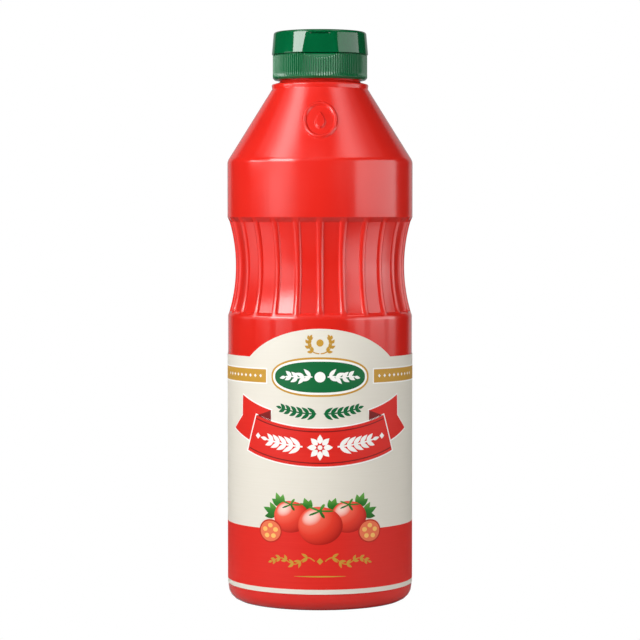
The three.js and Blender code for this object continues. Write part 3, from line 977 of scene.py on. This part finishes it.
def add_white_print(material):
    """Keylines round bands, cartouche and ribbon, and the ornaments on them."""
    low = SIDE_BAND_LOW - KEYLINE
    high = SIDE_BAND_HIGH + KEYLINE
    ribbon_turn = RIBBON_HALF_TURN + RIBBON_KEYLINE_TURN
    parts = [
        inked_band(-BAND_END, -SIDE_BAND_START + KEYLINE, low, high, layer=1),
        inked_band(SIDE_BAND_START - KEYLINE, BAND_END, low, high, layer=1),
        cartouche_oval(CARTOUCHE_KEYLINE_INSET, layer=3),
        ribbon_body(RIBBON_INNER - KEYLINE, RIBBON_OUTER + KEYLINE, ribbon_turn, layer=3),
    ]
    parts += [ribbon_tail(side, grow=KEYLINE, layer=1) for side in SIDES]
    half = SIDE_BAND_DIAMOND_HALF
    for along in SIDE_BAND_DIAMONDS:
        for side in SIDES:
            middle = (side * along, (SIDE_BAND_LOW + SIDE_BAND_HIGH) / 2)
            parts.append(inked_oval(middle, half, half, layer=3, power=1, count=24, rings=3))
    parts += cartouche_sprigs()
    parts += ribbon_garland()
    add_piece("print_white", parts, material, "label")


# Tomatoes printed over the edge of the lower field: distance along, height, radius and layer of each
WHOLE_TOMATOES = [(-12.4, 40.2, 7.8, 2), (12.4, 40.2, 7.8, 2), (0.0, 36.6, 9.4, 4)]
TOMATO_HALVES = [(-22.0, 33.8, 5.6, 3), (22.0, 33.8, 5.6, 3)]
TOMATO_FLATTENING = 0.88
TOMATO_COLUMNS = 72
LOBE_DEPTH = 0.018
DENT_DEPTH = 0.03
CROWN_HEIGHT = 0.66
CROWN_CORE = 0.12
CROWN_REACH = 0.5
CROWN_FLATTENING = 0.55
CUT_SHARE = 0.88
SEED_COUNT = 5
SEED_FIRST_TURN = 0.3
SEED_RING = 0.48
SEED_HALF_WIDTH = 0.2
SEED_HALF_HEIGHT = 0.17

# Leaves round the tomatoes, three from each place: the place on the right, their lean and their length
TOMATO_LEAVES = [((19.0, 41.0), 0.4, 7.0), ((17.0, 44.6), 1.2, 6.0), ((5.0, 43.4), 1.25, 5.2)]
TOMATO_LEAF_SPREADS = (-0.6, 0.0, 0.6)
TOMATO_LEAF_SHORTENING = 0.25
TOMATO_LEAF_HALF = 1.35

# Painted light: its direction, to the right, up and out of the label, and the tones of what is flat
PAINTED_LIGHT = (-0.42, 0.5, 0.76)
RIM_TONE = 0.45
CUT_TONE = 0.35
SEED_TONE = 0.95


def ball_tone(middle, radius):
    """Painted light on a ball: half of 1 plus the cosine to the light, 0 in its shade and 1 in its shine."""

    def tone(along, height):
        """Tone at places on the label."""
        across = np.clip((along - middle[0]) / radius, -1, 1)
        up = np.clip((height - middle[1]) / radius / TOMATO_FLATTENING, -1, 1)
        out = np.sqrt(np.clip(1 - across**2 - up**2, 0, 1))
        light = PAINTED_LIGHT[0] * across + PAINTED_LIGHT[1] * up + PAINTED_LIGHT[2] * out
        return np.clip(0.5 + 0.5 * light, 0, 1)

    return tone


def rising_tone(foot, start, rise):
    """A tone that starts at a foot's height and rises evenly with each millimetre over it."""
    return lambda along, height: np.clip(start + rise * (height - foot), 0, 1)


def even_tone(value):
    """The same tone all over."""
    return lambda along, height: np.full_like(along, value)


def tomato_skin(middle, radius, layer):
    """A whole tomato: a flattened round with three faint lobes and a dent at its top and foot."""
    turn = clockwise(TOMATO_COLUMNS)
    lobes = LOBE_DEPTH * np.cos(3 * turn)
    lobed = radius * (1 + lobes - DENT_DEPTH * np.cos(turn - math.pi / 2) ** 8)
    along = middle[0] + lobed * np.cos(turn)
    height = middle[1] + lobed * np.sin(turn) * TOMATO_FLATTENING
    return inked_shape(along, height, middle, layer, rings=14)


def tomato_crown(middle, radius, layer):
    """A star of five sepals, seen aslant: its radius follows a power of |cos(2.5 turn)|."""
    turn = clockwise(TOMATO_COLUMNS)
    star = CROWN_CORE + CROWN_REACH * np.abs(np.cos(turn * 2.5)) ** 5
    along = middle[0] + radius * star * np.cos(turn)
    height = middle[1] + radius * star * np.sin(turn) * CROWN_FLATTENING
    return inked_shape(along, height, middle, layer)


def tomato_seeds(middle, radius, layer):
    """A ring of seeds in a cut tomato."""
    parts = []
    for seed in range(SEED_COUNT):
        turn = 2 * math.pi * seed / SEED_COUNT + SEED_FIRST_TURN
        along = middle[0] + SEED_RING * radius * math.cos(turn)
        height = middle[1] + SEED_RING * radius * math.sin(turn) * TOMATO_FLATTENING
        half_width = SEED_HALF_WIDTH * radius
        half_height = SEED_HALF_HEIGHT * radius
        parts.append(inked_oval((along, height), half_width, half_height, layer, count=24, rings=4))
    return parts


def tomato_leaves(side):
    """Groups of three leaves on one side, each with its tone."""
    pairs = []
    for (along, height), lean, length in TOMATO_LEAVES:
        for spread in TOMATO_LEAF_SPREADS:
            turn = lean + spread if side > 0 else math.pi - lean - spread
            size = length * (1 - TOMATO_LEAF_SHORTENING * abs(spread))
            leaf = inked_leaf((side * along, height), turn, size, TOMATO_LEAF_HALF, layer=1)
            pairs.append((leaf, rising_tone(height, start=0.35, rise=0.1)))
    return pairs


def add_tomatoes(skin, flesh, leaf):
    """Whole tomatoes and halves among leaves, in three inks: each part is paired with its painted light."""
    skins, cuts, greens = [], [], []
    for *middle, radius, layer in WHOLE_TOMATOES:
        skins.append((tomato_skin(middle, radius, layer), ball_tone(middle, radius)))
        crown = (middle[0], middle[1] + CROWN_HEIGHT * radius)
        crown_tone = rising_tone(crown[1], start=0.45, rise=0.12)
        greens.append((tomato_crown(crown, radius, layer + 1), crown_tone))
    for *middle, radius, layer in TOMATO_HALVES:
        rim = inked_oval(middle, radius, radius * TOMATO_FLATTENING, layer, count=TOMATO_COLUMNS)
        skins.append((rim, even_tone(RIM_TONE)))
        inner = radius * CUT_SHARE
        cut = inked_oval(middle, inner, inner * TOMATO_FLATTENING, layer + 1, count=TOMATO_COLUMNS)
        cuts.append((cut, even_tone(CUT_TONE)))
        cuts += [(seed, even_tone(SEED_TONE)) for seed in tomato_seeds(middle, radius, layer + 2)]
    for side in SIDES:
        greens += tomato_leaves(side)
    pieces = (
        ("print_tomato_skin", skins, skin),
        ("print_tomato_flesh", cuts, flesh),
        ("print_tomato_leaf", greens, leaf),
    )
    for name, pairs, ink in pieces:
        parts, tones = zip(*pairs)
        add_piece(name, parts, ink, "label", tones)


# Materials: sizes of their patterns are in millimetres
RELIEF_DEPTH = 0.02
SHADE_STOPS = (0.3, 0.7)
POLYETHYLENE_IOR = 1.54
POLYETHYLENE_REDS = ("#d92219", "#dd281d")
POLYETHYLENE_ROUGHNESS = (0.16, 0.22)
CLOUD_SIZE = 28.0
PEEL_SIZE = 1.6
PEEL_STRENGTH = 0.2
TURNING_LENGTH = 30.0
TURNING_HEIGHT = 0.5
TURNING_STRENGTH = 0.4
POLYPROPYLENE_IOR = 1.49
FLOW_SIZE = 9.0
FILM_FINISH = {"Roughness": 0.45, "IOR": 1.32}
STREAK_LENGTH = 26.0
STREAK_HEIGHT = 0.6

# Halftone inks of the tomatoes: tone and colour
TOMATO_SKIN_INKS = [
    (0.0, "#6e100a"),
    (0.4, "#b81f14"),
    (0.75, "#e23a28"),
    (0.93, "#f0604a"),
    (1.0, "#fbd8cc"),
]
TOMATO_FLESH_INKS = [(0.0, "#d6452c"), (0.4, "#ec7a52"), (1.0, "#f6c56a")]
TOMATO_LEAF_INKS = [(0.0, "#174a17"), (0.5, "#2f7d2a"), (1.0, "#79b84c")]


def linear(colour):
    """An sRGB hex colour as linear red, green, blue and alpha."""
    srgb = np.array([int(colour[i : i + 2], 16) for i in (1, 3, 5)]) / 255
    return (*np.where(srgb <= 0.04045, srgb / 12.92, ((srgb + 0.055) / 1.055) ** 2.4), 1.0)


def add_node(tree, kind, settings=None, inputs=None, links=None, stops=()):
    """Adds a node: settings are its own attributes, inputs its sockets' values, links their sources.

    stops are the (place, hex colour) pairs of a colour ramp.
    """
    node = tree.nodes.new(kind)
    for key, value in (settings or {}).items():
        setattr(node, key, value)
    for key, value in (inputs or {}).items():
        node.inputs[key].default_value = value
    for key, source in (links or {}).items():
        tree.links.new(source, node.inputs[key])
    for number, (place, colour) in enumerate(stops):
        elements = node.color_ramp.elements
        element = elements[number] if number < len(elements) else elements.new(place)
        element.position = place
        element.color = linear(colour)
    return node


def new_material(name):
    """A material without nodes, and its tree."""
    material = bpy.data.materials.new(name)
    material.use_nodes = True
    material.node_tree.nodes.clear()
    return material, material.node_tree


def per_metre(size_mm):
    """Scale of a texture whose features are about that many millimetres across."""
    return 1 / (size_mm * MM)


def finish_material(tree, values, links):
    """Ends a material's tree in one shader with these values and sources."""
    shader = add_node(tree, "ShaderNodeBsdfPrincipled", inputs=values, links=links)
    add_node(tree, "ShaderNodeOutputMaterial", links={"Surface": shader.outputs[0]})


def blow_moulded_polyethylene():
    """High-density polyethylene blown into a turned mould.

    It gives a satin skin with a faint orange peel, fine level marks of the mould's turning and a little
    unevenness of colour, which spread highlights into soft-edged bands. The turning marks are drawn a few
    times coarser than real ones so that they show.
    """
    material, tree = new_material("blow_moulded_red_polyethylene")
    place = add_node(tree, "ShaderNodeTexCoord").outputs["Object"]
    cloud = add_node(
        tree,
        "ShaderNodeTexNoise",
        inputs={"Scale": per_metre(CLOUD_SIZE), "Detail": 2},
        links={"Vector": place},
    )
    colour = add_node(
        tree,
        "ShaderNodeValToRGB",
        links={"Fac": cloud.outputs["Fac"]},
        stops=zip(SHADE_STOPS, POLYETHYLENE_REDS),
    )
    roughness = add_node(
        tree,
        "ShaderNodeMapRange",
        inputs={"To Min": POLYETHYLENE_ROUGHNESS[0], "To Max": POLYETHYLENE_ROUGHNESS[1]},
        links={"Value": cloud.outputs["Fac"]},
    )
    peel = add_node(
        tree,
        "ShaderNodeTexNoise",
        inputs={"Scale": per_metre(PEEL_SIZE), "Detail": 2},
        links={"Vector": place},
    )
    uneven = add_node(
        tree,
        "ShaderNodeBump",
        inputs={"Strength": PEEL_STRENGTH, "Distance": RELIEF_DEPTH * MM},
        links={"Height": peel.outputs["Fac"]},
    )
    level = add_node(
        tree,
        "ShaderNodeMapping",
        inputs={"Scale": (per_metre(TURNING_LENGTH), per_metre(TURNING_LENGTH), per_metre(TURNING_HEIGHT))},
        links={"Vector": place},
    )
    marks = add_node(
        tree,
        "ShaderNodeTexNoise",
        inputs={"Scale": 1.0, "Detail": 2},
        links={"Vector": level.outputs[0]},
    )
    turned_skin = add_node(
        tree,
        "ShaderNodeBump",
        inputs={"Strength": TURNING_STRENGTH, "Distance": RELIEF_DEPTH * MM},
        links={"Height": marks.outputs["Fac"], "Normal": uneven.outputs["Normal"]},
    )
    links = {
        "Base Color": colour.outputs["Color"],
        "Roughness": roughness.outputs["Result"],
        "Normal": turned_skin.outputs["Normal"],
    }
    finish_material(tree, {"IOR": POLYETHYLENE_IOR}, links)
    return material


def moulded_polypropylene(name, colours, roughness, grain_size, grain_strength):
    """Injection-moulded polypropylene: even colour all through, and the shine of the mould's own surface.

    The grain is the mould's finish: fine on the skirt, and a long soft waviness on the polished lid.
    """
    material, tree = new_material(name)
    place = add_node(tree, "ShaderNodeTexCoord").outputs["Object"]
    flow = add_node(
        tree,
        "ShaderNodeTexNoise",
        inputs={"Scale": per_metre(FLOW_SIZE), "Detail": 1},
        links={"Vector": place},
    )
    colour = add_node(
        tree,
        "ShaderNodeValToRGB",
        links={"Fac": flow.outputs["Fac"]},
        stops=zip(SHADE_STOPS, colours),
    )
    grain = add_node(
        tree,
        "ShaderNodeTexNoise",
        inputs={"Scale": per_metre(grain_size)},
        links={"Vector": place},
    )
    skin = add_node(
        tree,
        "ShaderNodeBump",
        inputs={"Strength": grain_strength, "Distance": RELIEF_DEPTH * MM},
        links={"Height": grain.outputs["Fac"]},
    )
    links = {"Base Color": colour.outputs["Color"], "Normal": skin.outputs["Normal"]}
    finish_material(tree, {"Roughness": roughness, "IOR": POLYPROPYLENE_IOR}, links)
    return material


def printed_film(name, dark, light):
    """Ink on a satin polypropylene film.

    It gives flat colour broken by faint level streaks of the film's drawing, a fraction of a millimetre high
    and centimetres long, which are drawn twice as coarse as real ones so that they show.
    """
    material, tree = new_material(name)
    place = add_node(tree, "ShaderNodeTexCoord").outputs["Object"]
    stretch = add_node(
        tree,
        "ShaderNodeMapping",
        inputs={"Scale": (per_metre(STREAK_LENGTH), per_metre(STREAK_LENGTH), per_metre(STREAK_HEIGHT))},
        links={"Vector": place},
    )
    streak = add_node(
        tree,
        "ShaderNodeTexNoise",
        inputs={"Scale": 1.0, "Detail": 3},
        links={"Vector": stretch.outputs[0]},
    )
    colour = add_node(
        tree,
        "ShaderNodeValToRGB",
        links={"Fac": streak.outputs["Fac"]},
        stops=zip(SHADE_STOPS, (dark, light)),
    )
    finish_material(tree, FILM_FINISH, {"Base Color": colour.outputs["Color"]})
    return material


def printed_picture(name, inks):
    """Halftone picture ink on the film: the painted light kept with each vertex picks the colour."""
    material, tree = new_material(name)
    tone = add_node(tree, "ShaderNodeAttribute", {"attribute_name": "tone"})
    colour = add_node(tree, "ShaderNodeValToRGB", links={"Fac": tone.outputs["Fac"]}, stops=inks)
    finish_material(tree, FILM_FINISH, {"Base Color": colour.outputs["Color"]})
    return material


# The object

add_bottle(blow_moulded_polyethylene())
add_skirt(
    moulded_polypropylene(
        "ribbed_green_polypropylene",
        ("#075c33", "#0a6238"),
        roughness=0.2,
        grain_size=0.8,
        grain_strength=0.1,
    )
)
gloss_green = moulded_polypropylene(
    "glossy_green_polypropylene",
    ("#00552e", "#005b32"),
    roughness=0.08,
    grain_size=5.0,
    grain_strength=0.05,
)
add_lid(gloss_green)
add_hinge(gloss_green)
add_film(printed_film("cream_printed_film", "#e3ded1", "#e5e0d4"))
add_red_print(printed_film("red_printed_film", "#db261d", "#de2a21"))
add_dark_red_print(printed_film("dark_red_printed_film", "#7a1411", "#7e1512"))
add_gold_print(printed_film("gold_printed_film", "#c49436", "#c89839"))
add_green_print(printed_film("green_printed_film", "#0d6436", "#0f6839"))
add_white_print(printed_film("white_printed_film", "#f7f5f0", "#f9f7f3"))
add_tomatoes(
    printed_picture("tomato_skin_print", TOMATO_SKIN_INKS),
    printed_picture("tomato_flesh_print", TOMATO_FLESH_INKS),
    printed_picture("tomato_leaf_print", TOMATO_LEAF_INKS),
)

# Studio: white floor, lamps and the camera
EYE_HEIGHT = 165.0
EYE_DISTANCE = 1030.0
TILT = math.radians(2.435)
SENSOR = 36.0
PHOTO_WIDTH_PIXELS = 640
FOCAL_LENGTH_PIXELS = 2375
LENS = FOCAL_LENGTH_PIXELS * SENSOR / PHOTO_WIDTH_PIXELS
FLOOR_HALF = 30000.0
# Painted pool of light on the floor: its grey near the bottle, its grey far off, and where it fades between
# them
PAINTED_POOL_NEAR = 0.5
PAINTED_POOL_FAR = 0.2
PAINTED_POOL_FADE_START = 80.0
PAINTED_POOL_FADE_END = 300.0
ROOM_LIGHT = 0.03
SOFT_SHEETS = ((2.8, 0.1), (1.6, 0.2), (1.0, 0.33), (0.5, 0.37))
SHEET_GAP = 5.0


def add_camera():
    """A camera at the photograph's height and distance, tilted down to its framing."""
    camera = bpy.data.objects.new("camera", bpy.data.cameras.new("camera"))
    camera.data.sensor_width = SENSOR
    camera.data.lens = LENS
    camera.location = (0, -EYE_DISTANCE * MM, EYE_HEIGHT * MM)
    camera.rotation_euler = (math.pi / 2 - TILT, 0, 0)
    bpy.context.scene.collection.objects.link(camera)
    bpy.context.scene.camera = camera


def add_floor():
    """A card floor: one level square, white for the camera and grey for the light that it throws back.

    The grey is a painted pool of light, falling smoothly with the distance from the axis as light on a table
    does.
    """
    reach = FLOOR_HALF * MM
    corners = [(-reach, -reach, 0), (reach, -reach, 0), (reach, reach, 0), (-reach, reach, 0)]
    mesh = bpy.data.meshes.new("floor")
    mesh.from_pydata(corners, [], [(0, 1, 2, 3)])
    material, tree = new_material("white_card_painted_pool")
    place = add_node(tree, "ShaderNodeTexCoord").outputs["Object"]
    away = add_node(tree, "ShaderNodeVectorMath", {"operation": "LENGTH"}, links={0: place}).outputs["Value"]
    # Painted pool of light: the grey that the bottle sees in the floor is lighter near its axis and darker
    # far off
    near = {"From Min": PAINTED_POOL_FADE_START * MM, "To Min": PAINTED_POOL_NEAR}
    far = {"From Max": PAINTED_POOL_FADE_END * MM, "To Max": PAINTED_POOL_FAR}
    grey = add_node(
        tree,
        "ShaderNodeMapRange",
        {"interpolation_type": "SMOOTHSTEP"},
        {**near, **far},
        {"Value": away},
    )
    card = add_node(tree, "ShaderNodeBsdfDiffuse", links={"Color": grey.outputs["Result"]})
    shown = add_node(tree, "ShaderNodeEmission", inputs={"Strength": 1.0})
    seen = add_node(tree, "ShaderNodeLightPath").outputs["Is Camera Ray"]
    mixed = add_node(tree, "ShaderNodeMixShader", links={0: seen, 1: card.outputs[0], 2: shown.outputs[0]})
    add_node(tree, "ShaderNodeOutputMaterial", links={"Surface": mixed.outputs[0]})
    mesh.materials.append(material)
    floor = bpy.data.objects.new("floor", mesh)
    bpy.context.scene.collection.objects.link(floor)


def add_sheet(name, turn, distance, width, low, high, radiance):
    """An upright lamp that faces the bottle's axis, between two heights.

    turn is in degrees from the front towards +X. The lamp's power is pi times its radiance and its area.
    """
    lamp = bpy.data.lights.new(name, "AREA")
    lamp.shape = "RECTANGLE"
    lamp.size = width * MM
    lamp.size_y = (high - low) * MM
    lamp.energy = radiance * math.pi * lamp.size * lamp.size_y
    angle = math.radians(turn)
    holder = bpy.data.objects.new(name, lamp)
    aside = distance * math.sin(angle)
    forwards = distance * math.cos(angle)
    holder.location = (aside * MM, -forwards * MM, (low + high) / 2 * MM)
    holder.rotation_euler = (math.pi / 2, 0, angle)
    holder.visible_camera = False
    bpy.context.scene.collection.objects.link(holder)
    return holder


def add_fill(name, turn, distance, width, low, high, radiance):
    """A lamp that lights the bottle but doesn't show as a patch on its gloss."""
    add_sheet(name, turn, distance, width, low, high, radiance).visible_glossy = False


def add_shine(name, turn, distance, width, low, high, radiance):
    """A lamp that only shows on the gloss."""
    add_sheet(name, turn, distance, width, low, high, radiance).visible_diffuse = False


def add_soft_shine(name, turn, distance, width, low, high, radiance):
    """A lamp for the gloss alone, brightest in its middle: narrowing sheets, one in front of another.

    SOFT_SHEETS gives each sheet's share of the width and of the radiance.
    """
    for number, (wide, bright) in enumerate(SOFT_SHEETS):
        nearer = distance - number * SHEET_GAP
        add_shine(f"{name}_{number}", turn, nearer, width * wide, low, high, radiance * bright)


def add_world():
    """White all round for the camera, and a dim room for light and reflections."""
    world = bpy.data.worlds.new("studio")
    world.use_nodes = True
    tree = world.node_tree
    tree.nodes.clear()
    white = (1, 1, 1, 1)
    room = add_node(tree, "ShaderNodeBackground", inputs={"Color": white, "Strength": ROOM_LIGHT})
    backdrop = add_node(tree, "ShaderNodeBackground", inputs={"Color": white, "Strength": 1.0})
    seen = add_node(tree, "ShaderNodeLightPath").outputs["Is Camera Ray"]
    mixed = add_node(tree, "ShaderNodeMixShader", links={0: seen, 1: room.outputs[0], 2: backdrop.outputs[0]})
    add_node(tree, "ShaderNodeOutputWorld", links={"Surface": mixed.outputs[0]})
    bpy.context.scene.world = world


add_camera()
add_floor()
add_world()

# Lamps: name, turn, distance, width, lower and upper edge, radiance
add_sheet("right_low", 75, 700, 860, 0, 115, 0.9)
add_sheet("right_high", 75, 700, 860, 115, 450, 2.55)
add_shine("right_foot", 62, 120, 150, 124, 146, 2.0)
add_soft_shine("right_top", 57, 700, 560, 950, 1600, 2.8)
add_soft_shine("left_low", -54, 700, 420, 110, 225, 1.95)
add_shine("left_foot", -70, 120, 130, 124, 146, 1.1)
add_sheet("left_hot", -50, 700, 440, 330, 600, 11.0)
add_shine("left_rise", -50, 690, 440, 265, 600, 2.2)
add_shine("left_side", -80, 300, 130, 214, 280, 6.0)
add_sheet("left_high", -52, 700, 400, 600, 850, 4.0)
add_soft_shine("left_top", -68.5, 700, 435, 900, 1600, 5.6)
add_shine("front_cone", -20, 700, 800, 950, 1600, 0.4)
add_sheet("front_top", 0, 150, 250, 720, 1300, 2.4)
add_sheet("back", 180, 900, 1350, 0, 900, 0.42)
add_fill("left", -50, 700, 440, 100, 390, 4.5)
add_fill("front", -15, 450, 200, 250, 600, 2.6)
add_fill("front_band", 32, 160, 100, 170, 230, 2.0)
add_fill("right_base", 40, 160, 100, 10, 60, 1.0)
add_fill("front_high", 0, 500, 250, 500, 900, 2.2)

bpy.context.scene.view_settings.view_transform = "Standard"
bpy.context.scene.view_settings.look = "None"
